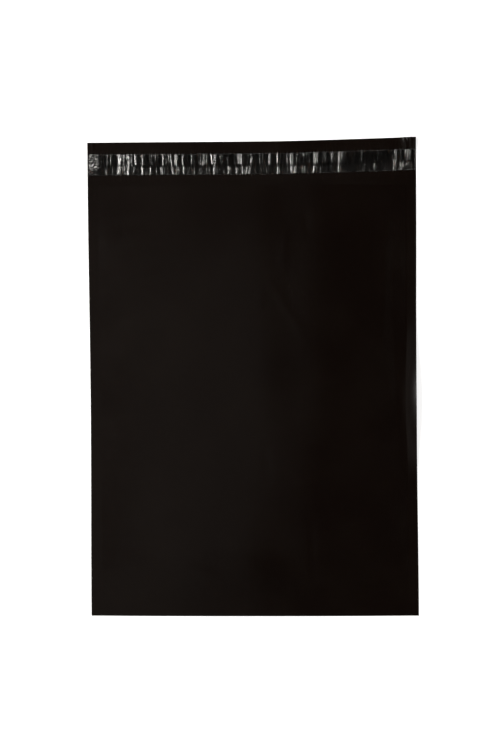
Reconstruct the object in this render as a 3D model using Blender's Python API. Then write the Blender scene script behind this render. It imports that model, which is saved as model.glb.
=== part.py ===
# A black film mailing bag, lying on its back with its closure side up and its lip open.
# Metres, +Z up, +Y towards the lip, +X to the right as seen from above.
# The origin lies on the surface under the middle of the bag's outline.

import math
import random

import bmesh
import bpy

# The film web: one sheet, folded for the bottom and welded down both sides
FILM_THICKNESS = 0.00006
BAG_WIDTH = 0.254
POCKET_DEPTH = 0.3338        # bottom fold to mouth, on the centre line
LIP_HEIGHT = 0.0342          # single film past the mouth, where its cut edge runs level
LIP_EDGE_RISE = 0.0026       # how much further the lip reaches at its right end
LIP_RISE_START = 0.014       # where that rise starts, right of the centre line
LIP_RISE_POWER = 1.3         # 1 is a straight rise, more starts it slower
FOLD_SLANT = 0.0020          # how much lower the bottom fold lies at its right end than at its left
SEAL_WIDTH = 0.0078          # welded band down each side
SIDE_DRAW_IN = 0.0008        # how far each side edge draws in at mid-length

# How the film lies when the bag is empty
CROWN_HEIGHT = 0.0065        # most that the front ply stands above the back ply
MOUTH_GAPE = 0.0060          # the same at the mouth
FOLD_HEIGHT = 0.0007         # the same at the bottom fold
FOLD_RAMP = 0.045            # length over which the front ply climbs from the fold
MOUTH_RAMP = 0.060           # length over which it eases down to the mouth
CROWN_SQUARENESS = 3.0       # how flat the crown is on top
WAVE_HEIGHT = 0.0002         # broad lengthwise waves in the front ply
WAVE_PITCH = 0.052

# The weld band that curls up on the right
CURL_HEIGHT = 0.0026
CURL_REACH = 0.016           # from the side edge inwards
CURL_LENGTH = 0.130
CURL_FROM_FOLD = 0.174       # its middle, up from the bottom fold

# Creases in the front ply: start, end, height and half width.
# The ends are shares of the pocket: -1 to 1 from the left weld to the right, 0 to 1 from fold to mouth.
CREASES = (
    ((0.883, 0.951), (0.828, 0.556), 0.0008, 0.0040),
    ((0.910, 0.718), (0.985, 0.346), -0.0006, 0.0035),
    ((0.786, 0.115), (0.985, 0.033), 0.0006, 0.0040),
    ((-0.810, 0.152), (-0.225, 0.092), 0.0004, 0.0035),
)

# The closure on the lip
SEAT_GAP = 0.0003            # clearance between pieces that lie on each other
ADHESIVE_WIDTH = 0.010
ADHESIVE_THICKNESS = 0.0001
ADHESIVE_SHOULDER = 0.0012   # how far the bead's top is narrower than its foot, each side
ADHESIVE_END_GAP = 0.0015
ADHESIVE_BELOW_LINER_EDGE = 0.0012
LINER_WIDTH = 0.0165
LINER_THICKNESS = 0.00005
LINER_BELOW_LIP_EDGE = 0.0088
LINER_END_GAP = 0.0006
LINER_ROW_BREAK = 0.0094     # below the liner's top edge, where the puckers change over
LINER_ROW_CHANGE = 0.0016    # length of that change
PUCKER_PITCH = 0.0045
PUCKER_HEIGHT = 0.0006
PUCKER_LEAST = 0.25          # the lowest pucker, as a share of the highest
PUCKER_JITTER = 0.16         # how far a crest strays, as a share of the pitch
PUCKER_SEED = 11

# Mesh density
POCKET_COLUMNS = 40
POCKET_ROWS = 44
SEAL_COLUMNS = 2
LIP_ROWS = 4
NOSE_STEPS = 4
COLUMN_CROWDING = 0.80       # 0 spaces columns and rows evenly, 1 crowds them at the ends
ADHESIVE_STEPS = 28
PUCKER_STEPS = 4             # columns to each pucker: valley, flank, crest, flank
FLAT_ANGLE = math.radians(0.02)   # faces that differ by less are joined
SHARP_ANGLE = math.radians(40)

HALF_WIDTH = BAG_WIDTH / 2
POCKET_HALF = HALF_WIDTH - SEAL_WIDTH
OVERALL_LENGTH = POCKET_DEPTH + FOLD_SLANT / 2 + LIP_HEIGHT + LIP_EDGE_RISE
MOUTH_Y = OVERALL_LENGTH / 2 - LIP_HEIGHT - LIP_EDGE_RISE


def ease(share):
    """A smooth step from 0 to 1."""
    share = min(max(share, 0.0), 1.0)
    return share * share * (3.0 - 2.0 * share)


def crowded(share):
    """Spread 0 to 1 with closer steps at both ends."""
    reach = COLUMN_CROWDING * math.pi / 2
    return 0.5 + 0.5 * math.sin((2 * share - 1) * reach) / math.sin(reach)


def lip_rise(x):
    """How much further the lip and its strip lie out at x than at the left."""
    share = (x - LIP_RISE_START) / (HALF_WIDTH - LIP_RISE_START)
    return LIP_EDGE_RISE * max(share, 0.0) ** LIP_RISE_POWER


def fold_y(x):
    """The bottom fold's line."""
    return MOUTH_Y - POCKET_DEPTH - FOLD_SLANT * x / BAG_WIDTH


def lip_edge_y(x):
    """The lip's cut edge."""
    return MOUTH_Y + LIP_HEIGHT + lip_rise(x)


def drawn_in(x, y):
    """x after the sides have drawn in at mid-length."""
    share = (y - fold_y(0.0)) / POCKET_DEPTH
    pull = SIDE_DRAW_IN * math.sin(math.pi * min(max(share, 0.0), 1.0)) ** 2
    return x * (1.0 - pull / HALF_WIDTH)


def curl(x, y):
    """Height of the back ply: on the surface, but for the curled band."""
    across = (x - (HALF_WIDTH - CURL_REACH)) / CURL_REACH
    along = (y - fold_y(HALF_WIDTH) - CURL_FROM_FOLD) / CURL_LENGTH
    if across <= 0.0 or abs(along) >= 0.5:
        return 0.0
    return CURL_HEIGHT * across ** 2 * math.cos(math.pi * along) ** 2


def pocket_point(shares):
    """A point of the pocket from its shares across and along."""
    x = POCKET_HALF * shares[0]
    return x, fold_y(x) + (MOUTH_Y - fold_y(x)) * shares[1]


def crease_height(x, y):
    """Sum of the creases at a point: soft ridges that die out at both ends."""
    height = 0.0
    for first, last, rise, half_width in CREASES:
        start, end = pocket_point(first), pocket_point(last)
        run = (end[0] - start[0], end[1] - start[1])
        length = math.hypot(*run)
        along = ((x - start[0]) * run[0] + (y - start[1]) * run[1]) / length
        aside = ((x - start[0]) * run[1] - (y - start[1]) * run[0]) / length
        if 0.0 < along < length:
            height += rise * math.sin(math.pi * along / length) * math.exp(-(aside / half_width) ** 2)
    return height


def pocket_height(x, y):
    """How far the front ply's inner face stands above the back ply's."""
    across = 1.0 - min(abs(x) / POCKET_HALF, 1.0) ** CROWN_SQUARENESS
    climb = ease((y - fold_y(x)) / FOLD_RAMP)
    sink = ease((y - MOUTH_Y + MOUTH_RAMP) / MOUTH_RAMP)
    lift = FOLD_HEIGHT + (CROWN_HEIGHT - FOLD_HEIGHT) * climb - (CROWN_HEIGHT - MOUTH_GAPE) * sink
    relief = WAVE_HEIGHT * math.cos(2 * math.pi * x / WAVE_PITCH) + crease_height(x, y)
    return across * (lift + relief * climb)


def column_places():
    """x of each column, and the numbers of the two columns on the seals' inner edges."""
    seal_steps = [SEAL_WIDTH * step / SEAL_COLUMNS for step in range(SEAL_COLUMNS)]
    left = [-HALF_WIDTH + step for step in seal_steps]
    middle = [POCKET_HALF * (2 * crowded(step / POCKET_COLUMNS) - 1) for step in range(POCKET_COLUMNS + 1)]
    right = [-place for place in reversed(left)]
    return left + middle + right, SEAL_COLUMNS, SEAL_COLUMNS + POCKET_COLUMNS


def add_strip(bm, first, second):
    """Quads between two rows of vertices; where the rows share a vertex, a triangle."""
    for step in range(len(first) - 1):
        corners = [first[step], first[step + 1], second[step + 1], second[step]]
        corners = list(dict.fromkeys(corners))
        if len(corners) > 2:
            bm.faces.new(corners)


def add_grid(bm, rows):
    """Strips between each row and the next."""
    for lower, upper in zip(rows, rows[1:]):
        add_strip(bm, lower, upper)


def finish_object(name, bm, material):
    """Turn a closed bmesh into a named object, its faces pointing out."""
    bmesh.ops.recalc_face_normals(bm, faces=bm.faces)
    mesh = bpy.data.meshes.new(name)
    bm.to_mesh(mesh)
    bm.free()
    mesh.shade_smooth()
    mesh.set_sharp_from_angle(angle=SHARP_ANGLE)
    mesh.materials.append(material)
    piece = bpy.data.objects.new(name, mesh)
    bpy.context.scene.collection.objects.link(piece)
    return piece


def plain_material(name, colour, roughness, alpha=1.0):
    """A Principled material with one colour and gloss."""
    material = bpy.data.materials.new(name)
    material.use_nodes = True
    shader = material.node_tree.nodes["Principled BSDF"]
    shader.inputs["Base Color"].default_value = (*colour, 1.0)
    shader.inputs["Roughness"].default_value = roughness
    shader.inputs["Metallic"].default_value = 0.0
    shader.inputs["Alpha"].default_value = alpha
    return material


def make_pouch():
    """The folded and welded web: back ply, front ply, weld bands and lip as one body."""
    columns, first_open, last_open = column_places()
    open_columns = range(first_open, last_open + 1)
    bm = bmesh.new()

    def back_point(x, share):
        y = fold_y(x) + (MOUTH_Y - fold_y(x)) * share
        return drawn_in(x, y), y, curl(x, y)

    # Outer and inner rows from the fold to the mouth
    back_outer = []
    front_outer = []
    back_inner = []
    front_inner = []
    for row in range(POCKET_ROWS + 1):
        share = crowded(row / POCKET_ROWS)
        places = [back_point(x, share) for x in columns]
        gaps = [pocket_height(x, place[1]) for x, place in zip(columns, places)]
        back_outer.append([bm.verts.new(place) for place in places])
        front_outer.append(
            [bm.verts.new((x, y, z + 2 * FILM_THICKNESS + gap)) for (x, y, z), gap in zip(places, gaps)]
        )
        lower = []
        upper = []
        for column in open_columns:
            x, y, z = places[column]
            lower.append(bm.verts.new((x, y, z + FILM_THICKNESS)))
            if column in (first_open, last_open):
                upper.append(lower[-1])
            else:
                upper.append(bm.verts.new((x, y, z + FILM_THICKNESS + gaps[column])))
        back_inner.append(lower)
        front_inner.append(upper)
    add_grid(bm, front_outer)
    add_grid(bm, back_inner)
    add_grid(bm, front_inner)

    # The lip, from the mouth to its cut edge
    mouth_level = []
    for column, x in enumerate(columns):
        if column in open_columns:
            mouth_level.append(back_inner[-1][column - first_open])
        else:
            mouth_level.append(bm.verts.new((drawn_in(x, MOUTH_Y), MOUTH_Y, curl(x, MOUTH_Y) + FILM_THICKNESS)))
    lip_lower = [back_outer[-1]]
    lip_upper = [mouth_level]
    for row in range(1, LIP_ROWS + 1):
        share = row / LIP_ROWS
        heights = [MOUTH_Y + (lip_edge_y(x) - MOUTH_Y) * share for x in columns]
        lip_lower.append([bm.verts.new((x, y, 0.0)) for x, y in zip(columns, heights)])
        lip_upper.append([bm.verts.new((x, y, FILM_THICKNESS)) for x, y in zip(columns, heights)])
    add_grid(bm, back_outer + lip_lower[1:])
    add_grid(bm, lip_upper)
    add_strip(bm, lip_lower[-1], lip_upper[-1])

    # The front ply's cut edge at the mouth, and the weld bands' ends beside it
    mouth_edge = mouth_level[:first_open] + front_inner[-1] + mouth_level[last_open + 1:]
    add_strip(bm, front_outer[-1], mouth_edge)

    # The bottom fold: a round nose outside, a smaller one inside
    def nose_rows(lower, upper):
        rows = [lower]
        for step in range(1, NOSE_STEPS):
            turn = math.pi * step / NOSE_STEPS
            row = []
            for low, high in zip(lower, upper):
                if low is high:
                    row.append(low)
                    continue
                radius = (high.co.z - low.co.z) / 2
                middle = (high.co.z + low.co.z) / 2
                place = (low.co.x, low.co.y - radius * math.sin(turn), middle - radius * math.cos(turn))
                row.append(bm.verts.new(place))
            rows.append(row)
        return rows + [upper]

    outer_nose = nose_rows(back_outer[0], front_outer[0])
    add_grid(bm, outer_nose)
    add_grid(bm, nose_rows(back_inner[0], front_inner[0]))

    # The side edges: the weld's two plies, then the lip's one
    for side in (0, -1):
        bm.faces.new([row[side] for row in outer_nose])
        lower = [row[side] for row in back_outer]
        upper = [row[side] for row in front_outer]
        add_strip(bm, lower[:-1], upper[:-1])
        bm.faces.new([lower[-2], lower[-1], mouth_level[side], upper[-1], upper[-2]])
        add_strip(bm, [row[side] for row in lip_lower], [row[side] for row in lip_upper])

    bmesh.ops.dissolve_limit(bm, angle_limit=FLAT_ANGLE, verts=bm.verts, edges=bm.edges)
    black_film = plain_material("black_film", (0.006, 0.005, 0.004), 0.35)
    return finish_object("film_pouch", bm, black_film)


def make_adhesive():
    """The glue bead on the lip: a low trapezium swept along the liner's line."""
    reach = HALF_WIDTH - ADHESIVE_END_GAP
    foot = FILM_THICKNESS + SEAT_GAP
    top_edge = MOUTH_Y + LIP_HEIGHT - LINER_BELOW_LIP_EDGE - ADHESIVE_BELOW_LINER_EDGE
    profile = (
        (0.0, foot),
        (-ADHESIVE_SHOULDER, foot + ADHESIVE_THICKNESS),
        (-ADHESIVE_WIDTH + ADHESIVE_SHOULDER, foot + ADHESIVE_THICKNESS),
        (-ADHESIVE_WIDTH, foot),
    )
    bm = bmesh.new()
    rings = []
    for step in range(ADHESIVE_STEPS + 1):
        x = reach * (2 * step / ADHESIVE_STEPS - 1)
        rings.append([bm.verts.new((x, top_edge + lip_rise(x) + y, z)) for y, z in profile])
    add_grid(bm, [ring + ring[:1] for ring in rings])
    bm.faces.new(rings[0])
    bm.faces.new(rings[-1])
    glue = plain_material("hot_melt_glue", (0.22, 0.20, 0.16), 0.30)
    return finish_object("adhesive_strip", bm, glue)


def pucker_columns():
    """x, upper height and lower height of each column along the liner."""
    chance = random.Random(PUCKER_SEED)
    reach = HALF_WIDTH - LINER_END_GAP
    count = max(1, round(2 * reach / PUCKER_PITCH))
    pitch = 2 * reach / count
    columns = []
    for pucker in range(count):
        start = -reach + pucker * pitch
        stray = PUCKER_JITTER * chance.uniform(-1, 1)
        upper = PUCKER_HEIGHT * chance.uniform(PUCKER_LEAST, 1)
        lower = PUCKER_HEIGHT * chance.uniform(PUCKER_LEAST, 1)
        for step in range(PUCKER_STEPS):
            turn = step / PUCKER_STEPS
            lift = math.sin(math.pi * turn) ** 2
            columns.append((start + pitch * (turn + stray * lift), upper * lift, lower * lift))
    columns.append((reach, 0.0, 0.0))
    return columns


def make_liner():
    """The clear film over the glue, puckered across its width in two rows."""
    base = FILM_THICKNESS + SEAT_GAP + ADHESIVE_THICKNESS + SEAT_GAP
    top_edge = MOUTH_Y + LIP_HEIGHT - LINER_BELOW_LIP_EDGE
    columns = pucker_columns()
    depths = (0.0, LINER_ROW_BREAK - LINER_ROW_CHANGE / 2, LINER_ROW_BREAK + LINER_ROW_CHANGE / 2, LINER_WIDTH)
    bm = bmesh.new()
    under = []
    over = []
    for number, depth in enumerate(depths):
        in_upper_row = number < 2
        places = []
        for x, upper, lower in columns:
            lift = upper if in_upper_row else lower
            places.append((x, top_edge + lip_rise(x) - depth, base + lift))
        under.append([bm.verts.new(place) for place in places])
        over.append([bm.verts.new((x, y, z + LINER_THICKNESS)) for x, y, z in places])
    add_grid(bm, under)
    add_grid(bm, over)
    for end in (0, -1):
        add_strip(bm, under[end], over[end])
        add_strip(bm, [row[end] for row in under], [row[end] for row in over])
    clear_film = plain_material("clear_liner", (0.60, 0.60, 0.60), 0.15, alpha=0.35)
    return finish_object("release_liner", bm, clear_film)


def main():
    """Clear the scene and make the bag."""
    for old in list(bpy.data.objects):
        bpy.data.objects.remove(old, do_unlink=True)
    make_pouch()
    make_adhesive()
    make_liner()


main()
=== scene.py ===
import math
import random

import bmesh
import bpy
import numpy as np
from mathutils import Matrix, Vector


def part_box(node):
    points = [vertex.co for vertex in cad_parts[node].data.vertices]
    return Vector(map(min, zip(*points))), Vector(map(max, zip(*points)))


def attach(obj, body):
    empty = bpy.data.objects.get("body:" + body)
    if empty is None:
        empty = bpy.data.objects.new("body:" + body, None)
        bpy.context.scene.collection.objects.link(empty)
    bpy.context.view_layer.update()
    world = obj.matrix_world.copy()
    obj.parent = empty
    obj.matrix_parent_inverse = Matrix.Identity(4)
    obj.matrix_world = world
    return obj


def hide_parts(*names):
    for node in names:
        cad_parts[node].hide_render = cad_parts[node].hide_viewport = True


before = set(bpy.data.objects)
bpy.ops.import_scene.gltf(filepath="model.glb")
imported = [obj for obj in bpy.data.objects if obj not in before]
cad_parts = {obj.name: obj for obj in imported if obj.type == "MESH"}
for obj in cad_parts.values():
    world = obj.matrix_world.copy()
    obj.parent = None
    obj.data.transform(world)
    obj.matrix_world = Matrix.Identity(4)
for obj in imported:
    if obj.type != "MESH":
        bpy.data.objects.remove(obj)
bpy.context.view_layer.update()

scene = bpy.context.scene
scene.view_settings.view_transform = "Standard"

pouchLow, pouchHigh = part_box("film_pouch")
linerLow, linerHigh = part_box("release_liner")
halfWidth = (pouchHigh[0] - pouchLow[0]) / 2
print("frame loaded: bag is", round(2000 * halfWidth, 1), "mm wide")


# Small helpers for node trees: a value may be a number or another node's output
def plug(tree, socket, value):
    if isinstance(value, bpy.types.NodeSocket):
        tree.links.new(value, socket)
    else:
        socket.default_value = value


def addNode(tree, kind, settings=None, **values):
    node = tree.nodes.new(kind)
    for name, value in (settings or {}).items():
        setattr(node, name, value)
    for name, value in values.items():
        plug(tree, node.inputs[name.replace("_", " ")], value)
    return node


def calc(tree, operation, *values):
    node = tree.nodes.new("ShaderNodeMath")
    node.operation = operation
    for socket, value in zip(node.inputs, values):
        plug(tree, socket, value)
    return node.outputs[0]


def softStep(tree, value, low, high, start=0.0, end=1.0):
    node = tree.nodes.new("ShaderNodeMapRange")
    node.interpolation_type = "SMOOTHSTEP"
    for name, amount in (("From Min", low), ("From Max", high), ("To Min", start), ("To Max", end)):
        plug(tree, node.inputs[name], amount)
    plug(tree, node.inputs["Value"], value)
    return node.outputs["Result"]


def newSocket(tree, name, kind, value=None, direction="INPUT"):
    socket = tree.interface.new_socket(name=name, in_out=direction, socket_type="NodeSocket" + kind)
    if value is not None:
        socket.default_value = value
    return socket


# Film grain: fine pimples, and the faint draw lines that run up the bag
def makeFilmGrain():
    group = bpy.data.node_groups.new("filmGrain", "ShaderNodeTree")
    newSocket(group, "Grain Size", "Float", 0.0005)
    newSocket(group, "Line Spacing", "Float", 0.0012)
    newSocket(group, "Line Share", "Float", 0.4)
    newSocket(group, "Height", "Float", direction="OUTPUT")
    ends = addNode(group, "NodeGroupInput")
    place = addNode(group, "ShaderNodeTexCoord").outputs["Object"]
    grainScale = calc(group, "DIVIDE", 1.0, ends.outputs["Grain Size"])
    grain = addNode(group, "ShaderNodeTexNoise", Vector=place, Scale=grainScale, Detail=2.0)
    stretched = addNode(group, "ShaderNodeVectorMath", {"operation": "MULTIPLY"})
    plug(group, stretched.inputs[0], place)
    stretched.inputs[1].default_value = (1.0, 0.03, 1.0)
    lineScale = calc(group, "DIVIDE", 1.0, ends.outputs["Line Spacing"])
    lines = addNode(group, "ShaderNodeTexNoise", Vector=stretched.outputs[0], Scale=lineScale,
                    Detail=1.0)
    mixed = addNode(group, "ShaderNodeMix", Factor=ends.outputs["Line Share"])
    plug(group, mixed.inputs["A"], grain.outputs["Fac"])
    plug(group, mixed.inputs["B"], lines.outputs["Fac"])
    out = addNode(group, "NodeGroupOutput")
    plug(group, out.inputs["Height"], mixed.outputs["Result"])
    return group


# Handling marks: broad cloudy patches and short scuffs where hands and other bags have rubbed
def makeHandling():
    group = bpy.data.node_groups.new("handlingMarks", "ShaderNodeTree")
    newSocket(group, "Patch Size", "Float", 0.05)
    newSocket(group, "Scuff Size", "Float", 0.006)
    newSocket(group, "Scuff Share", "Float", 0.3)
    newSocket(group, "Mask", "Float", direction="OUTPUT")
    ends = addNode(group, "NodeGroupInput")
    place = addNode(group, "ShaderNodeTexCoord").outputs["Object"]
    patchScale = calc(group, "DIVIDE", 1.0, ends.outputs["Patch Size"])
    patches = addNode(group, "ShaderNodeTexNoise", Vector=place, Scale=patchScale,
                      Detail=3.0, Roughness=0.55)
    slanted = addNode(group, "ShaderNodeMapping", Vector=place)
    slanted.inputs["Rotation"].default_value = (0.0, 0.0, 0.6)
    slanted.inputs["Scale"].default_value = (0.25, 1.6, 1.0)
    scuffScale = calc(group, "DIVIDE", 1.0, ends.outputs["Scuff Size"])
    scuffs = addNode(group, "ShaderNodeTexNoise", Vector=slanted.outputs[0], Scale=scuffScale,
                     Detail=4.0)
    sharpScuffs = softStep(group, scuffs.outputs["Fac"], 0.58, 0.80)
    softPatches = softStep(group, patches.outputs["Fac"], 0.30, 0.72)
    mixed = addNode(group, "ShaderNodeMix", Factor=ends.outputs["Scuff Share"])
    plug(group, mixed.inputs["A"], softPatches)
    plug(group, mixed.inputs["B"], sharpScuffs)
    out = addNode(group, "NodeGroupOutput")
    plug(group, out.inputs["Mask"], mixed.outputs["Result"])
    return group


filmGrain = makeFilmGrain()
handlingMarks = makeHandling()


def newMaterial(name):
    material = bpy.data.materials.new(name)
    material.use_nodes = True
    return material, material.node_tree, material.node_tree.nodes["Principled BSDF"]


def addGroup(tree, group, **values):
    node = addNode(tree, "ShaderNodeGroup", {"node_tree": group})
    for name, value in values.items():
        plug(tree, node.inputs[name.replace("_", " ")], value)
    return node.outputs[0]


def colourBetween(tree, mask, first, second):
    mixed = addNode(tree, "ShaderNodeMix", {"data_type": "RGBA"}, Factor=mask)
    colours = [socket for socket in mixed.inputs if socket.type == "RGBA"]
    plug(tree, colours[0], (*first, 1.0))
    plug(tree, colours[1], (*second, 1.0))
    return next(socket for socket in mixed.outputs if socket.type == "RGBA")


def addBump(tree, shader, height, strength, distance):
    bump = addNode(tree, "ShaderNodeBump", Height=height, Strength=strength, Distance=distance)
    tree.links.new(bump.outputs["Normal"], shader.inputs["Normal"])


# Black film: near black and slightly warm, satin, with grain, draw lines and handling marks
blackFilm = {
    "darkTone": (0.0031, 0.0014, 0.0008),
    "paleTone": (0.0042, 0.0022, 0.0013),
    "glossLow": 0.17,
    "glossHigh": 0.21,
    "refraction": 1.5,
    "grainShare": 0.6,
    "grainDepth": 0.00004,
}


def makeBlackFilm():
    material, tree, shader = newMaterial("blackFilm")
    marks = addGroup(tree, handlingMarks, Patch_Size=0.06, Scuff_Size=0.007, Scuff_Share=0.25)
    grain = addGroup(tree, filmGrain, Grain_Size=0.0009, Line_Spacing=0.0030, Line_Share=0.65)
    colour = colourBetween(tree, marks, blackFilm["darkTone"], blackFilm["paleTone"])
    plug(tree, shader.inputs["Base Color"], colour)
    gloss = softStep(tree, marks, 0.0, 1.0, blackFilm["glossLow"], blackFilm["glossHigh"])
    plug(tree, shader.inputs["Roughness"], gloss)
    shader.inputs["IOR"].default_value = blackFilm["refraction"]
    addBump(tree, shader, grain, blackFilm["grainShare"], blackFilm["grainDepth"])
    return material


# Clear liner: glossy silicone-coated film, hazier at its left end where the weld has wrinkled it
clearLiner = {
    "tone": (0.93, 0.92, 0.90),
    "rubbedTone": (0.84, 0.83, 0.81),
    "gloss": 0.18,
    "rubbedGloss": 0.08,         # how much rougher it is where it is rubbed
    "hazeGloss": 0.24,
    "hazeWidth": 0.009,
    "crazing": 0.38,             # how far the wrinkled end has gone white
    "crazeSize": 0.0015,
    "crazeLevels": (0.50, 0.64),      # noise levels between which it goes white
    "crazeDepth": (0.0105, 0.0140),   # it dies out between these distances from the top edge
    "refraction": 1.34,
    "grainShare": 0.4,
    "grainDepth": 0.00003,
}


def makeClearLiner():
    material, tree, shader = newMaterial("clearLiner")
    marks = addGroup(tree, handlingMarks, Patch_Size=0.012, Scuff_Size=0.002, Scuff_Share=0.5)
    grain = addGroup(tree, filmGrain, Grain_Size=0.0006, Line_Spacing=0.0010, Line_Share=0.3)
    place = addNode(tree, "ShaderNodeTexCoord").outputs["Object"]
    parts = addNode(tree, "ShaderNodeSeparateXYZ", Vector=place).outputs
    hazeWidth = clearLiner["hazeWidth"]
    haze = softStep(tree, parts["X"], 0.7 * hazeWidth - halfWidth, hazeWidth - halfWidth, 1.0, 0.0)
    lively = calc(tree, "MULTIPLY_ADD", marks, clearLiner["rubbedGloss"], clearLiner["gloss"])
    gloss = calc(tree, "MULTIPLY_ADD", haze, clearLiner["hazeGloss"] - clearLiner["gloss"], lively)
    plug(tree, shader.inputs["Roughness"], gloss)
    colour = colourBetween(tree, marks, clearLiner["tone"], clearLiner["rubbedTone"])
    plug(tree, shader.inputs["Base Color"], colour)
    specks = addNode(tree, "ShaderNodeTexNoise", Vector=place, Detail=3.0,
                     Scale=1.0 / clearLiner["crazeSize"])
    white = softStep(tree, specks.outputs["Fac"], *clearLiner["crazeLevels"])
    topEdge = linerHigh[1] - pouch["lipEdgeRise"]
    low, high = (topEdge - depth for depth in reversed(clearLiner["crazeDepth"]))
    nearTop = softStep(tree, parts["Y"], low, high)
    crazed = calc(tree, "MULTIPLY", calc(tree, "MULTIPLY", white, haze), nearTop)
    clear = calc(tree, "MULTIPLY_ADD", crazed, -clearLiner["crazing"], 1.0)
    plug(tree, shader.inputs["Transmission Weight"], clear)
    shader.inputs["IOR"].default_value = clearLiner["refraction"]
    addBump(tree, shader, grain, clearLiner["grainShare"], clearLiner["grainDepth"])
    return material


# Glue band: clear hot melt over black film, so it reads dark, wet and slightly rippled
hotMelt = {
    "darkTone": (0.0014, 0.0006, 0.0003),
    "paleTone": (0.0028, 0.0014, 0.0008),
    "glossLow": 0.18,
    "glossHigh": 0.32,
    "refraction": 1.13,
    "grainShare": 0.5,
    "grainDepth": 0.0001,
}


def makeGlue():
    material, tree, shader = newMaterial("hotMeltGlue")
    marks = addGroup(tree, handlingMarks, Patch_Size=0.010, Scuff_Size=0.003, Scuff_Share=0.4)
    grain = addGroup(tree, filmGrain, Grain_Size=0.0015, Line_Spacing=0.0009, Line_Share=0.7)
    colour = colourBetween(tree, marks, hotMelt["darkTone"], hotMelt["paleTone"])
    plug(tree, shader.inputs["Base Color"], colour)
    gloss = softStep(tree, marks, 0.0, 1.0, hotMelt["glossLow"], hotMelt["glossHigh"])
    plug(tree, shader.inputs["Roughness"], gloss)
    shader.inputs["IOR"].default_value = hotMelt["refraction"]
    addBump(tree, shader, grain, hotMelt["grainShare"], hotMelt["grainDepth"])
    return material


# The film pouch, in metres: one web, folded at the bottom and welded down both sides
pouch = {
    "filmThickness": 0.00006,
    "pocketDepth": 0.3338,
    "lipHeight": 0.0342,
    "lipEdgeRise": 0.0026,
    "lipRiseStart": 0.014,
    "lipRisePower": 1.3,
    "foldSlant": 0.0020,
    "sealWidth": 0.0078,
    "sideDrawIn": 0.0008,
    "crownHeight": 0.0065,       # the front ply over the back ply in mid pocket
    "mouthGape": 0.0060,         # and at the mouth
    "foldHeight": 0.0007,
    "foldRamp": 0.054,
    "mouthRamp": 0.060,
    "crownSquareness": 2.5,      # 2 is a round crown, more has flatter tops and steeper sides
    "puckerSquareness": 12,      # the same for how the weld's puckers stop at it
    "waveHeight": 0.0001,
    "wavePitch": 0.052,
    "curlHeight": 0.0034,        # the right weld band's curl, over a stretch of curlLength
    "curlReach": 0.022,
    "curlPower": 3.0,
    "curlLength": 0.146,
    "curlFromFold": 0.169,
    "edgeBead": 0.0001,          # the hot knife leaves a rounded bead along both side cuts,
    "lipBeadShare": 0.6,         # lower on the single ply of the lip
    "topFlare": 0.0010,          # how much wider the web lies at the lip than at the fold
    "lipWave": 0.00025,
    "lipWavePitch": 0.07,
    "cornerLift": 0.0016,        # the lip's right corner stands up a little
    "cornerReach": 0.014,
    "weldPucker": 0.00009,       # short wrinkles that start at the welds
    "weldPuckerPitch": 0.017,
    "weldPuckerReach": 0.020,
    "weldPuckerStart": 0.004,    # they grow to full height over this distance from the weld
    "weldPuckerLean": 25.0,
    "softRelief": 0.00009,       # the film's slow wander
    "softPitch": 0.060,
    "softStretch": 2.2,          # it is this much longer up the bag than across
    "columns": 110,
    "rows": 150,
    "lipRows": 20,
    "noseSteps": 6,
    "sharpDegrees": 50,
    "bandSteps": 10,
    "lipPuckerReach": 0.0110,    # from the lip's edge down to where its puckers die out
}
# Creases: both ends as shares of the pocket (-1 to 1 across, 0 to 1 from fold to mouth), then
# height and half width
creases = (
    ((0.883, 0.951), (0.828, 0.556), 0.0008, 0.0040),
    ((0.910, 0.718), (0.985, 0.300), -0.0010, 0.0036),
    ((0.786, 0.115), (0.985, 0.033), 0.0009, 0.0030),
    ((-0.810, 0.152), (-0.225, 0.092), 0.0004, 0.0035),
)
fineCreases = {
    "count": 26,
    "height": 0.00013,
    "halfWidth": 0.0024,
    "length": (0.020, 0.075),
    "seed": 5,
}
# Puckers in the lip where the liner's ends are welded down with it: place, lean, height, half width
lipPuckers = (
    (0.1190, 0.16, 0.0013, 0.0016),
    (0.1236, 0.0, 0.0006, 0.0010),
    (-0.1234, 0.0, 0.0004, 0.0010),
)

filmMaterial = makeBlackFilm()
linerMaterial = makeClearLiner()
glueMaterial = makeGlue()
print("materials made")

pocketHalf = halfWidth - pouch["sealWidth"]
mouthY = pouchHigh[1] - pouch["lipHeight"] - pouch["lipEdgeRise"]


def ease(share):
    share = np.clip(share, 0.0, 1.0)
    return share * share * (3.0 - 2.0 * share)


# The same with no sudden bend at either end
def softEase(share):
    share = np.clip(share, 0.0, 1.0)
    return share ** 3 * (10.0 - 15.0 * share + 6.0 * share * share)


# Even steps drawn together towards both ends
def crowded(share):
    reach = 0.4 * math.pi
    return 0.5 + 0.5 * np.sin((2 * share - 1) * reach) / math.sin(reach)


# A smooth random surface of about unit height, from sine waves in many directions
def wander(x, y, pitch, seed, stretch=1.0, waves=14):
    chance = random.Random(seed)
    total = np.zeros(np.broadcast(x, y).shape)
    for _ in range(waves):
        angle = chance.uniform(0, math.pi)
        size = 2 * math.pi / (pitch * chance.uniform(0.7, 1.5))
        shift = chance.uniform(0, 2 * math.pi)
        total += np.sin(size * (np.cos(angle) * x + np.sin(angle) * y / stretch) + shift)
    return total / math.sqrt(waves / 2)


def lipRise(x):
    start = pouch["lipRiseStart"]
    share = np.maximum((x - start) / (halfWidth - start), 0.0)
    return pouch["lipEdgeRise"] * share ** pouch["lipRisePower"]


def foldY(x):
    return mouthY - pouch["pocketDepth"] - pouch["foldSlant"] * x / (2 * halfWidth)


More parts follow.
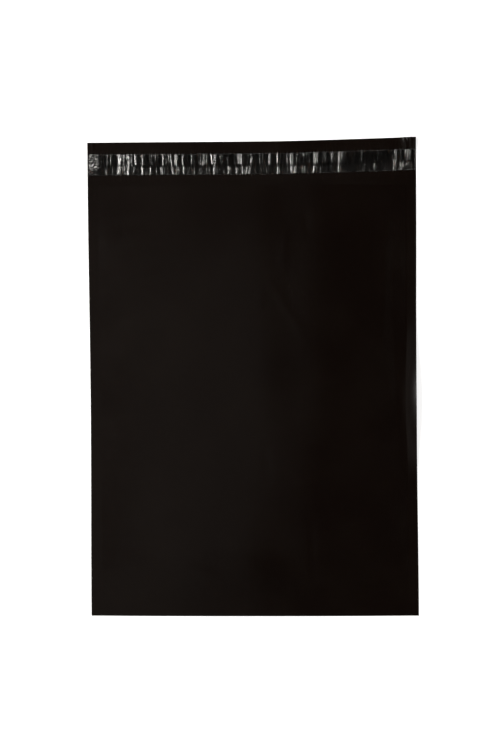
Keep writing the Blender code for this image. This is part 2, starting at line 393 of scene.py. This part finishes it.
def drawnIn(x, y):
    share = np.clip((y - foldY(0.0)) / pouch["pocketDepth"], 0.0, 1.0)
    pull = pouch["sideDrawIn"] * np.sin(math.pi * share) ** 2 - pouch["topFlare"] * share / 2
    return x * (1.0 - pull / halfWidth)


# Height of the back ply over the surface: flat, but for the curled weld band and the lip
def backHeight(x, y):
    across = np.maximum((x - halfWidth + pouch["curlReach"]) / pouch["curlReach"], 0.0)
    along = np.clip((y - foldY(halfWidth) - pouch["curlFromFold"]) / pouch["curlLength"], -0.5, 0.5)
    curl = pouch["curlHeight"] * across ** pouch["curlPower"] * np.cos(math.pi * along) ** 2
    pastMouth = np.clip((y - mouthY) / pouch["lipHeight"], 0.0, 1.2)
    lift = pouch["lipWave"] * ease(pastMouth) * (1.0 + wander(x, y, pouch["lipWavePitch"], 5)) / 2
    toCorner = (x - halfWidth) + (y - pouchHigh[1])
    corner = pouch["cornerLift"] * ease(1.0 + toCorner / pouch["cornerReach"])
    fromEdge = mouthY + pouch["lipHeight"] + lipRise(x) - y
    grown = ease(1.0 - fromEdge / pouch["lipPuckerReach"])
    puckers = 0.0
    for place, lean, rise, spread in lipPuckers:
        puckers = puckers + rise * np.exp(-((x - place - lean * fromEdge) / spread) ** 2)
    return curl + np.maximum(lift, 0.0) + corner + puckers * grown


# Faint creases from packing and handling, most of them lengthwise
def makeFineCreases():
    chance = random.Random(fineCreases["seed"])
    made = []
    for _ in range(fineCreases["count"]):
        across, along = chance.uniform(-0.92, 0.92), chance.uniform(0.10, 0.92)
        length = chance.uniform(*fineCreases["length"]) / 2
        angle = math.pi / 2 + chance.gauss(0.0, 0.35)
        reachX = length * math.cos(angle) / pocketHalf
        reachY = length * math.sin(angle) / pouch["pocketDepth"]
        rise = fineCreases["height"] * chance.uniform(-1.0, 1.0)
        ends = (across - reachX, along - reachY), (across + reachX, along + reachY)
        made.append((*ends, rise, fineCreases["halfWidth"]))
    return tuple(made)


allCreases = creases + makeFineCreases()


def creaseRelief(x, y):
    total = np.zeros(np.broadcast(x, y).shape)
    for first, last, rise, spread in allCreases:
        ends = []
        for across, along in (first, last):
            endX = pocketHalf * across
            ends.append((endX, foldY(endX) + (mouthY - foldY(endX)) * along))
        (startX, startY), (endX, endY) = ends
        length = math.hypot(endX - startX, endY - startY)
        dirX, dirY = (endX - startX) / length, (endY - startY) / length
        along = (x - startX) * dirX + (y - startY) * dirY
        aside = (x - startX) * dirY - (y - startY) * dirX
        within = np.clip(along / length, 0.0, 1.0)
        total += rise * np.sin(math.pi * within) * np.exp(-(aside / spread) ** 2)
    return total


# Wrinkles that start at the welds and die out inwards, in gusts along them
def weldPuckers(x, y):
    inwards = np.maximum(pocketHalf - np.abs(x), 0.0)
    grown = 1.0 - np.exp(-inwards / pouch["weldPuckerStart"])
    fade = np.exp(-inwards / pouch["weldPuckerReach"]) * grown
    drift = 1.2 * wander(x * 0 + np.sign(x) * 0.3, y, 0.09, 21)
    drift = drift + pouch["weldPuckerLean"] * inwards * np.sign(x)
    ripple = np.sin(2 * math.pi * y / pouch["weldPuckerPitch"] + drift)
    gusts = 0.5 + 0.5 * wander(x * 0 + np.sign(x) * 0.7, y, 0.06, 33)
    return pouch["weldPucker"] * fade * ripple * np.clip(gusts, 0.0, 1.6)


def pocketHeight(x, y):
    across = 1.0 - np.minimum(np.abs(x) / pocketHalf, 1.0) ** pouch["crownSquareness"]
    climb = softEase((y - foldY(x)) / pouch["foldRamp"])
    sink = ease((y - mouthY + pouch["mouthRamp"]) / pouch["mouthRamp"])
    lift = pouch["foldHeight"] + (pouch["crownHeight"] - pouch["foldHeight"]) * climb
    lift = lift - (pouch["crownHeight"] - pouch["mouthGape"]) * sink
    relief = pouch["waveHeight"] * np.cos(2 * math.pi * x / pouch["wavePitch"]) + creaseRelief(x, y)
    relief = relief + pouch["softRelief"] * wander(x, y, pouch["softPitch"], 8, pouch["softStretch"])
    steep = 1.0 - np.minimum(np.abs(x) / pocketHalf, 1.0) ** pouch["puckerSquareness"]
    return across * (lift + relief * climb) + weldPuckers(x, y) * climb * steep


def pouchColumns():
    bead = pouch["edgeBead"]
    band = [0.0, 0.3 * bead, bead, 1.7 * bead, 2.0 * bead, 2.6 * bead]
    band += [pouch["sealWidth"] * step / pouch["bandSteps"] for step in range(1, pouch["bandSteps"])]
    left = [-halfWidth + step for step in band]
    shares = crowded(np.linspace(0.0, 1.0, pouch["columns"] + 1))
    middle = list(pocketHalf * (2 * shares - 1))
    right = [-x for x in reversed(left)]
    return np.array(left + middle + right), len(left), len(left) + pouch["columns"]


# Thickness of the bead on the side cuts, added to the film's top face
def beadHeight(x):
    radius = pouch["edgeBead"]
    offset = (halfWidth - np.abs(x) - radius) / radius
    return radius * np.sqrt(np.clip(1.0 - offset ** 2, 0.0, 1.0))


def makePouch():
    film = pouch["filmThickness"]
    columns, firstOpen, lastOpen = pouchColumns()
    shares = crowded(np.linspace(0.0, 1.0, pouch["rows"] + 1))
    x = columns[None, :]
    y = foldY(x) + (mouthY - foldY(x)) * shares[:, None]
    x = np.broadcast_to(x, y.shape)
    back = backHeight(x, y)
    gap = pocketHeight(x, y)
    placeX = drawnIn(x, y)
    bm = bmesh.new()

    def addRows(xs, ys, zs):
        return [[bm.verts.new(p) for p in zip(*row)] for row in zip(xs, ys, zs)]

    def addStrip(first, second):
        for step in range(len(first) - 1):
            corners = first[step], first[step + 1], second[step + 1], second[step]
            corners = list(dict.fromkeys(corners))
            if len(corners) > 2:
                bm.faces.new(corners)

    def addGrid(rows):
        for lower, upper in zip(rows, rows[1:]):
            addStrip(lower, upper)

    backOuter = addRows(placeX, y, back)
    frontOuter = addRows(placeX, y, back + 2 * film + gap + beadHeight(x))
    inside = slice(firstOpen, lastOpen + 1)
    backInner = addRows(placeX[:, inside], y[:, inside], back[:, inside] + film)
    between = slice(firstOpen + 1, lastOpen)
    upper = addRows(placeX[:, between], y[:, between], (back + film + gap)[:, between])
    frontInner = [[low[0]] + row + [low[-1]] for low, row in zip(backInner, upper)]
    addGrid(frontOuter)
    addGrid(backInner)
    addGrid(frontInner)

    # The lip, one ply from the mouth to its cut edge
    lipShares = np.linspace(0.0, 1.0, pouch["lipRows"] + 1)[:, None]
    lipY = mouthY + (pouch["lipHeight"] + lipRise(columns)[None, :]) * lipShares
    lipX = np.broadcast_to(drawnIn(columns[None, :], mouthY), lipY.shape)
    lipBack = backHeight(lipX, lipY)
    lipTop = lipBack + film + pouch["lipBeadShare"] * beadHeight(lipX)
    sides = np.r_[0:firstOpen, lastOpen + 1:len(columns)]
    beside = [bm.verts.new(p) for p in zip(lipX[0, sides], lipY[0, sides], lipTop[0, sides])]
    mouthLevel = beside[:firstOpen] + backInner[-1] + beside[firstOpen:]
    lipLower = [backOuter[-1]] + addRows(lipX[1:], lipY[1:], lipBack[1:])
    lipUpper = [mouthLevel] + addRows(lipX[1:], lipY[1:], lipTop[1:])
    addGrid(backOuter + lipLower[1:])
    addGrid(lipUpper)
    addStrip(lipLower[-1], lipUpper[-1])
    addStrip(frontOuter[-1], beside[:firstOpen] + frontInner[-1] + beside[firstOpen:])

    # The bottom fold is a round nose outside and a smaller one inside
    def noseRows(lower, upper):
        rows = [lower]
        for step in range(1, pouch["noseSteps"]):
            turn = math.pi * step / pouch["noseSteps"]
            row = []
            for low, high in zip(lower, upper):
                radius = (high.co.z - low.co.z) / 2
                middle = (high.co.z + low.co.z) / 2
                place = (low.co.x, low.co.y - radius * math.sin(turn), middle - radius * math.cos(turn))
                row.append(low if low is high else bm.verts.new(place))
            rows.append(row)
        return rows + [upper]

    outerNose = noseRows(backOuter[0], frontOuter[0])
    addGrid(outerNose)
    addGrid(noseRows(backInner[0], frontInner[0]))
    for side in (0, -1):
        bm.faces.new([row[side] for row in outerNose])
        lower = [row[side] for row in backOuter]
        upper = [row[side] for row in frontOuter]
        addStrip(lower[:-1], upper[:-1])
        bm.faces.new([lower[-2], lower[-1], mouthLevel[side], upper[-1], upper[-2]])
        addStrip([row[side] for row in lipLower], [row[side] for row in lipUpper])

    bmesh.ops.recalc_face_normals(bm, faces=bm.faces)
    mesh = bpy.data.meshes.new("filmPouch")
    bm.to_mesh(mesh)
    bm.free()
    mesh.shade_smooth()
    mesh.set_sharp_from_angle(angle=math.radians(pouch["sharpDegrees"]))
    mesh.materials.append(filmMaterial)
    piece = bpy.data.objects.new("filmPouch", mesh)
    scene.collection.objects.link(piece)
    return piece


filmPouch = makePouch()
print("pouch made:", len(filmPouch.data.polygons), "faces")

# The liner over the glue: a strip of clear film, pleated across its width where the hot glue has
# drawn it in
liner = {
    "width": 0.0162,
    "belowLipEdge": 0.0093,
    "endGap": 0.0006,
    "thickness": 0.00005,
    "pitch": 0.0046,
    "narrowPleat": 0.0008,       # half widths
    "widePleat": 0.0013,
    "leastSlope": 0.08,
    "mostSlope": 0.69,
    "shortPleatPitch": 1.6,      # pleats in one row only, in pitches
    "finePleatShare": 0.46,      # size of the fine pleats between the others
    "leastFine": 0.82,           # the fine pleats stay this strong where the others die out
    "rowBreak": 0.43,            # share of the width, from the lower edge
    "rowShift": 0.0044,          # how far a pleat may jump sideways at the break
    "waist": 0.35,               # how far the pleats sink at the break
    "lean": 0.0128,              # how far a pleat may lean over the strip's width
    "crumple": 0.00007,
    "crumpleSize": 0.0022,
    "endCrumple": 0.0022,        # the wrinkled left end
    "endCrumpleSize": 0.0014,
    "endWidth": 0.008,
    "driftScale": 150.0,         # how often the small pleats change their lean, per metre
    "dentScale": 320.0,          # and the bold pleats their line and slope
    "dentShift": 0.0024,
    "columns": 1000,
    "rows": 28,
    "seed": 6.0,
}
# How strongly the strip is pleated along its length: share of the length, then strength
pleatStrength = (
    (0.0, 0.42), (0.07, 0.46), (0.09, 0.95), (0.30, 1.0), (0.70, 1.0),
    (0.775, 0.90), (0.80, 0.48), (0.91, 0.46), (0.93, 0.6), (1.0, 0.6),
)
# The boldest pleats: place along the strip, lean, half width, slope in the lower and upper rows
boldPleats = (
    (-0.1008, 0.0003, 0.0036, 0.46, 0.46),
    (-0.0946, -0.0006, 0.0029, 0.47, 0.47),
    (-0.0915, 0.0000, 0.0015, 0.52, 0.05),
    (0.1110, 0.0012, 0.0012, 0.50, 0.55),
    (0.1170, 0.0040, 0.0015, 0.60, 0.05),
    (0.1152, 0.0000, 0.0010, 0.05, 0.40),
    (0.1202, 0.0000, 0.0013, 0.05, 0.54),
    (0.1194, -0.0050, 0.0010, 0.44, 0.05),
)


def makeLinerTree():
    tree = bpy.data.node_groups.new("pleatedStrip", "GeometryNodeTree")
    newSocket(tree, "Geometry", "Geometry", direction="OUTPUT")
    for name in ("Columns", "Rows"):
        newSocket(tree, name, "Int", 100)
    for name in ("Length", "Width", "Pitch", "Narrow Pleat", "Wide Pleat", "Least Slope", "Most Slope",
                 "Short Pleat Pitch", "Fine Pleat Share", "Least Fine", "Row Break", "Row Shift",
                 "Waist", "Lean", "Drift Scale", "Dent Scale", "Dent Shift", "Crumple", "Crumple Size",
                 "End Crumple", "End Crumple Size", "End Width", "Edge Rise", "Rise Start",
                 "Rise Power", "Seed", "Centre Y", "Base Z"):
        newSocket(tree, name, "Float", 0.01)
    newSocket(tree, "Material", "Material")
    ends = addNode(tree, "NodeGroupInput").outputs
    grid = addNode(tree, "GeometryNodeMeshGrid")
    for socket, name in (("Size X", "Length"), ("Size Y", "Width"),
                         ("Vertices X", "Columns"), ("Vertices Y", "Rows")):
        plug(tree, grid.inputs[socket], ends[name])
    place = addNode(tree, "GeometryNodeInputPosition").outputs[0]
    parts = addNode(tree, "ShaderNodeSeparateXYZ", Vector=place).outputs
    acrossShare = calc(tree, "ADD", calc(tree, "DIVIDE", parts["Y"], ends["Width"]), 0.5)
    lengthShare = calc(tree, "ADD", calc(tree, "DIVIDE", parts["X"], ends["Length"]), 0.5)
    fromBreak = calc(tree, "SUBTRACT", acrossShare, ends["Row Break"])
    upperShare = softStep(tree, fromBreak, -0.06, 0.06)

    # Each pleat leans its own way and jumps sideways where the rows meet
    drift = addNode(tree, "ShaderNodeTexNoise", {"noise_dimensions": "1D"}, W=parts["X"],
                    Scale=ends["Drift Scale"])
    driftParts = addNode(tree, "ShaderNodeSeparateXYZ", Vector=drift.outputs["Color"]).outputs
    leaning = calc(tree, "MULTIPLY", calc(tree, "SUBTRACT", driftParts["X"], 0.5), ends["Lean"])
    fromMiddle = calc(tree, "SUBTRACT", acrossShare, 0.5)
    shifted = calc(tree, "MULTIPLY_ADD", leaning, fromMiddle, parts["X"])
    jump = calc(tree, "MULTIPLY", calc(tree, "SUBTRACT", driftParts["Y"], 0.5), ends["Row Shift"])
    shifted = calc(tree, "MULTIPLY_ADD", jump, upperShare, shifted)

    # A pleat's cross section: a ridge with straight flanks, rounded at its top and feet
    def tent(away, spread):
        top = calc(tree, "SUBTRACT", 1.0, calc(tree, "DIVIDE", away, spread))
        rounded = calc(tree, "SMOOTH_MAX", top, 0.0, 0.25)
        return calc(tree, "MULTIPLY", calc(tree, "SMOOTH_MIN", rounded, 0.85, 0.2), spread)

    # A layer of pleats: one in each random cell, with its own width and slope
    def pleatLayer(seedStep, pitch, size=1.0):
        start = calc(tree, "MULTIPLY", ends["Seed"], seedStep)
        along = calc(tree, "ADD", calc(tree, "DIVIDE", shifted, pitch), start)
        cells = addNode(tree, "ShaderNodeTexVoronoi", {"voronoi_dimensions": "1D"}, W=along, Scale=1.0)
        cells.inputs["Randomness"].default_value = 0.7
        chance = addNode(tree, "ShaderNodeSeparateXYZ", Vector=cells.outputs["Color"]).outputs
        spread = softStep(tree, chance["Y"], 0.0, 1.0, ends["Narrow Pleat"], ends["Wide Pleat"])
        spread = calc(tree, "MULTIPLY", spread, size)
        slope = softStep(tree, chance["X"], -0.2, 1.2, ends["Least Slope"], ends["Most Slope"])
        away = calc(tree, "MULTIPLY", cells.outputs["Distance"], pitch)
        return calc(tree, "MULTIPLY", tent(away, spread), slope)

    # Long pleats run through both rows, short ones stay in one
    shortPitch = calc(tree, "MULTIPLY", ends["Pitch"], ends["Short Pleat Pitch"])
    lowerShare = calc(tree, "SUBTRACT", 1.0, upperShare)
    pleats = pleatLayer(7.31, ends["Pitch"])
    for seedStep, rowShare in ((13.79, upperShare), (29.17, lowerShare)):
        short = calc(tree, "MULTIPLY", pleatLayer(seedStep, shortPitch), rowShare)
        pleats = calc(tree, "MAXIMUM", pleats, short)

    # Strength along the strip, drawn as a curve
    strength = addNode(tree, "ShaderNodeFloatCurve", Value=lengthShare)
    curve = strength.mapping.curves[0]
    curve.points[0].location = pleatStrength[0]
    curve.points[1].location = pleatStrength[-1]
    for point in pleatStrength[1:-1]:
        curve.points.new(*point)
    strength.mapping.update()

    # Fine pleats in between, which don't die out as far, all of them pinched where the rows meet
    fineShare = ends["Fine Pleat Share"]
    finePitch = calc(tree, "MULTIPLY", ends["Pitch"], fineShare)
    upperFine = calc(tree, "MULTIPLY", pleatLayer(41.3, finePitch, fineShare), upperShare)
    lowerFine = calc(tree, "MULTIPLY", pleatLayer(57.9, finePitch, fineShare), lowerShare)
    fine = calc(tree, "ADD", upperFine, lowerFine)
    fineStrength = calc(tree, "MAXIMUM", strength.outputs[0], ends["Least Fine"])
    fine = calc(tree, "MULTIPLY", fine, fineStrength)
    pleats = calc(tree, "MAXIMUM", calc(tree, "MULTIPLY", pleats, strength.outputs[0]), fine)
    sunk = calc(tree, "SUBTRACT", 1.0, ends["Waist"])
    pinch = softStep(tree, calc(tree, "ABSOLUTE", fromBreak), 0.0, 0.09, sunk, 1.0)
    pleats = calc(tree, "MULTIPLY", pleats, pinch)

    # Bold pleats, with dents in their line and their slope
    dents = addNode(tree, "ShaderNodeTexNoise", Vector=place, Scale=ends["Dent Scale"], Detail=1.0)
    dentParts = addNode(tree, "ShaderNodeSeparateXYZ", Vector=dents.outputs["Color"]).outputs
    sideways = calc(tree, "MULTIPLY", calc(tree, "SUBTRACT", dentParts["X"], 0.5), ends["Dent Shift"])
    uneven = calc(tree, "MULTIPLY_ADD", dentParts["Y"], 0.9, 0.55)
    for centre, lean, spread, lowerSlope, upperSlope in boldPleats:
        ridge = calc(tree, "ADD", calc(tree, "MULTIPLY_ADD", fromMiddle, lean, centre), sideways)
        away = calc(tree, "ABSOLUTE", calc(tree, "SUBTRACT", parts["X"], ridge))
        slope = calc(tree, "MULTIPLY_ADD", upperShare, upperSlope - lowerSlope, lowerSlope)
        slope = calc(tree, "MULTIPLY", slope, uneven)
        bold = calc(tree, "MULTIPLY", tent(away, spread), slope)
        pleats = calc(tree, "MAXIMUM", pleats, bold)

    # Fine crumples everywhere, and coarse ones at the wrinkled end
    def crumples(size, depth):
        noise = addNode(tree, "ShaderNodeTexNoise", Vector=place, Detail=1.0)
        plug(tree, noise.inputs["Scale"], calc(tree, "DIVIDE", 1.0, ends[size]))
        return calc(tree, "MULTIPLY", calc(tree, "SUBTRACT", noise.outputs["Fac"], 0.3), ends[depth])

    fromEnd = calc(tree, "MULTIPLY", lengthShare, ends["Length"])
    endStart = calc(tree, "MULTIPLY", ends["End Width"], 0.7)
    atEnd = softStep(tree, fromEnd, endStart, ends["End Width"], 1.0, 0.0)
    atEnd = calc(tree, "MULTIPLY", atEnd, softStep(tree, fromBreak, -0.2, 0.1, 0.35, 1.0))
    crumple = crumples("Crumple Size", "Crumple")
    crumple = calc(tree, "MULTIPLY_ADD", crumples("End Crumple Size", "End Crumple"), atEnd, crumple)

    # The strip follows the rise of the lip's edge
    pastStart = calc(tree, "SUBTRACT", parts["X"], ends["Rise Start"])
    reach = calc(tree, "SUBTRACT", calc(tree, "DIVIDE", ends["Length"], 2.0), ends["Rise Start"])
    riseShare = calc(tree, "MAXIMUM", calc(tree, "DIVIDE", pastStart, reach), 0.0)
    rise = calc(tree, "POWER", riseShare, ends["Rise Power"])
    rise = calc(tree, "MULTIPLY", rise, ends["Edge Rise"])
    offsetY = calc(tree, "ADD", rise, ends["Centre Y"])
    offsetZ = calc(tree, "ADD", calc(tree, "ADD", pleats, crumple), ends["Base Z"])
    offset = addNode(tree, "ShaderNodeCombineXYZ", Y=offsetY, Z=offsetZ).outputs[0]
    moved = addNode(tree, "GeometryNodeSetPosition", Geometry=grid.outputs["Mesh"], Offset=offset)
    smooth = addNode(tree, "GeometryNodeSetShadeSmooth", Geometry=moved.outputs[0])
    real = addNode(tree, "GeometryNodeRealizeInstances", Geometry=smooth.outputs[0])
    coated = addNode(tree, "GeometryNodeSetMaterial", Geometry=real.outputs[0],
                     Material=ends["Material"])
    out = addNode(tree, "NodeGroupOutput")
    plug(tree, out.inputs["Geometry"], coated.outputs[0])
    return tree


# The tree's socket for one of the liner's values: "endWidth" goes into "End Width"
def socketName(key):
    spaced = "".join(" " + letter if letter.isupper() else letter for letter in key)
    return spaced[0].upper() + spaced[1:]


def makeLiner():
    tree = makeLinerTree()
    carrier = bpy.data.objects.new("linerCarrier", bpy.data.meshes.new("linerCarrier"))
    scene.collection.objects.link(carrier)
    modifier = carrier.modifiers.new("puckers", "NODES")
    modifier.node_group = tree
    topEdge = mouthY + pouch["lipHeight"] - liner["belowLipEdge"]
    values = {socketName(key): value for key, value in liner.items()}
    values.update({
        "Length": 2 * (halfWidth - liner["endGap"]),
        "Edge Rise": pouch["lipEdgeRise"],
        "Rise Start": pouch["lipRiseStart"],
        "Rise Power": pouch["lipRisePower"],
        "Centre Y": topEdge - liner["width"] / 2,
        "Base Z": linerLow[2],
        "Material": linerMaterial,
    })
    for item in tree.interface.items_tree:
        if item.item_type == "SOCKET" and item.in_out == "INPUT" and item.name in values:
            modifier[item.identifier] = values[item.name]
    ready = carrier.evaluated_get(bpy.context.evaluated_depsgraph_get())
    mesh = bpy.data.meshes.new_from_object(ready)
    mesh.name = "releaseLiner"
    bpy.data.objects.remove(carrier, do_unlink=True)
    piece = bpy.data.objects.new("releaseLiner", mesh)
    scene.collection.objects.link(piece)
    wall = piece.modifiers.new("wall", "SOLIDIFY")
    wall.thickness = liner["thickness"]
    wall.offset = 1.0
    return piece


releaseLiner = makeLiner()
print("liner made:", len(releaseLiner.data.polygons), "faces")

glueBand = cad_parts["adhesive_strip"]
glueBand.data.materials.clear()
glueBand.data.materials.append(glueMaterial)

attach(filmPouch, "root")
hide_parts("film_pouch")
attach(releaseLiner, "root")
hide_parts("release_liner")

# A pale floor that curves up into a wall all round
studio = {
    "floorTone": 0.66,
    "floorGlow": 0.67,           # added where the camera sees the floor, straight on or in the film
    "flatRadius": 2.6,
    "wallRadius": 3.4,
    "wallHeight": 2.6,
    "bendSteps": 12,
    "turnSteps": 96,
    "worldLevel": 0.015,
    "filmClearance": 0.0001,
}


def makeStudio():
    bm = bmesh.new()
    bend = studio["wallRadius"] - studio["flatRadius"]
    profile = [(0.0, 0.0), (studio["flatRadius"], 0.0)]
    for step in range(1, studio["bendSteps"] + 1):
        turn = math.pi / 2 * step / studio["bendSteps"]
        profile.append((studio["flatRadius"] + bend * math.sin(turn), bend * (1 - math.cos(turn))))
    profile.append((studio["wallRadius"], studio["wallHeight"]))
    chain = [bm.verts.new((r, 0.0, z - studio["filmClearance"])) for r, z in profile]
    edges = [bm.edges.new(pair) for pair in zip(chain, chain[1:])]
    bmesh.ops.spin(bm, geom=chain + edges, cent=(0, 0, 0), axis=(0, 0, 1),
                   angle=2 * math.pi, steps=studio["turnSteps"])
    bmesh.ops.remove_doubles(bm, verts=bm.verts, dist=0.0001)
    mesh = bpy.data.meshes.new("studioFloor")
    bm.to_mesh(mesh)
    bm.free()
    mesh.shade_smooth()
    floor = bpy.data.objects.new("studioFloor", mesh)
    scene.collection.objects.link(floor)
    material, tree, shader = newMaterial("paleFloor")
    tone = studio["floorTone"]
    shader.inputs["Base Color"].default_value = (tone, tone, tone, 1.0)
    shader.inputs["Roughness"].default_value = 0.9
    rays = addNode(tree, "ShaderNodeLightPath").outputs
    seen = calc(tree, "MAXIMUM", calc(tree, "MAXIMUM", rays["Is Camera Ray"], rays["Is Glossy Ray"]),
                rays["Is Transmission Ray"])
    shader.inputs["Emission Color"].default_value = (1.0, 1.0, 1.0, 1.0)
    plug(tree, shader.inputs["Emission Strength"], calc(tree, "MULTIPLY", seen, studio["floorGlow"]))
    mesh.materials.append(material)
    world = bpy.data.worlds.new("studioWorld")
    world.use_nodes = True
    background = world.node_tree.nodes["Background"]
    background.inputs["Color"].default_value = (1.0, 1.0, 1.0, 1.0)
    background.inputs["Strength"].default_value = studio["worldLevel"]
    scene.world = world
    return floor


floor = makeStudio()

# Two soft boxes light the floor and the liner's pleats
lampTone = (1.0, 0.98, 0.95)
lamps = {
    "leftBox": {"place": (-1.30, 0.28, 0.95), "size": 0.50, "power": 34.0},
    "rightBox": {"place": (1.35, 0.10, 0.85), "size": 0.60, "power": 13.0},
}
for lampName, values in lamps.items():
    lamp = bpy.data.lights.new(lampName, "AREA")
    lamp.shape = "SQUARE"
    lamp.size = values["size"]
    lamp.energy = values["power"]
    lamp.color = lampTone
    box = bpy.data.objects.new(lampName, lamp)
    box.location = values["place"]
    box.rotation_euler = box.location.to_track_quat("Z", "Y").to_euler()
    box.visible_camera = False
    scene.collection.objects.link(box)

# A dim reflector over the bag: the film mirrors it as a soft sheen that dies out to the right and
# the bottom right
reflector = {
    "height": 2.10,
    "low": (-2.0, -1.7),
    "high": (0.8, 1.0),
    "glow": 0.125,
    "tone": (1.0, 0.95, 0.88),
    "edge": 0.12,                # x of its soft right edge
    "edgeSoftness": 0.11,
    "slantStart": -0.076,        # below this y the edge runs to the left
    "slant": 0.56,
    "slantLength": 0.30,
    "topFade": (0.14, 0.52),     # it dies out between these y
    "leftFade": (-0.85, -0.56),  # between these x it gets dimmer to the left
    "leftShare": 0.42,           # down to this share
}


def makeReflector():
    material, tree, shader = newMaterial("dimReflector")
    place = addNode(tree, "ShaderNodeTexCoord").outputs["Object"]
    parts = addNode(tree, "ShaderNodeSeparateXYZ", Vector=place).outputs
    below = calc(tree, "MAXIMUM", calc(tree, "SUBTRACT", reflector["slantStart"], parts["Y"]), 0.0)
    below = calc(tree, "MINIMUM", below, reflector["slantLength"])
    across = calc(tree, "MULTIPLY_ADD", below, reflector["slant"], parts["X"])
    soft = reflector["edgeSoftness"]
    lit = softStep(tree, across, reflector["edge"] - soft, reflector["edge"] + soft, 1.0, 0.0)
    lit = calc(tree, "MULTIPLY", lit, softStep(tree, parts["Y"], *reflector["topFade"], 1.0, 0.0))
    leftLight = softStep(tree, parts["X"], *reflector["leftFade"], reflector["leftShare"], 1.0)
    lit = calc(tree, "MULTIPLY", lit, leftLight)
    shader.inputs["Base Color"].default_value = (0.0, 0.0, 0.0, 1.0)
    shader.inputs["Roughness"].default_value = 1.0
    shader.inputs["Emission Color"].default_value = (*reflector["tone"], 1.0)
    plug(tree, shader.inputs["Emission Strength"], calc(tree, "MULTIPLY", lit, reflector["glow"]))
    (left, front), (right, rear) = reflector["low"], reflector["high"]
    outline = ((left, front), (left, rear), (right, rear), (right, front))
    mesh = bpy.data.meshes.new("dimReflector")
    mesh.from_pydata([(x, y, reflector["height"]) for x, y in outline], [], [(0, 1, 2, 3)])
    mesh.materials.append(material)
    sheet = bpy.data.objects.new("dimReflector", mesh)
    sheet.visible_camera = False
    scene.collection.objects.link(sheet)
    return sheet


makeReflector()

# The camera looks straight down, turned so that the bag leans as in the photograph
view = {
    "height": 2.0,
    "metresPerPixel": 0.000776,
    "picture": (500, 750),
    "bagPixel": (253.4, 377.5),   # where the middle of the bag lies in the picture
    "turnDegrees": -0.45,
    "sensorHeight": 36.0,
}


def makeCamera():
    camera = bpy.data.cameras.new("topCamera")
    camera.sensor_fit = "VERTICAL"
    camera.sensor_height = view["sensorHeight"]
    seenHeight = view["picture"][1] * view["metresPerPixel"]
    camera.lens = view["sensorHeight"] * view["height"] / seenHeight
    holder = bpy.data.objects.new("topCamera", camera)
    turn = math.radians(view["turnDegrees"])
    right = (view["picture"][0] / 2 - view["bagPixel"][0]) * view["metresPerPixel"]
    up = (view["bagPixel"][1] - view["picture"][1] / 2) * view["metresPerPixel"]
    holder.location = (
        right * math.cos(turn) - up * math.sin(turn),
        right * math.sin(turn) + up * math.cos(turn),
        view["height"],
    )
    holder.rotation_euler = (0.0, 0.0, turn)
    scene.collection.objects.link(holder)
    scene.camera = holder


makeCamera()
print("studio, lamps and camera made")
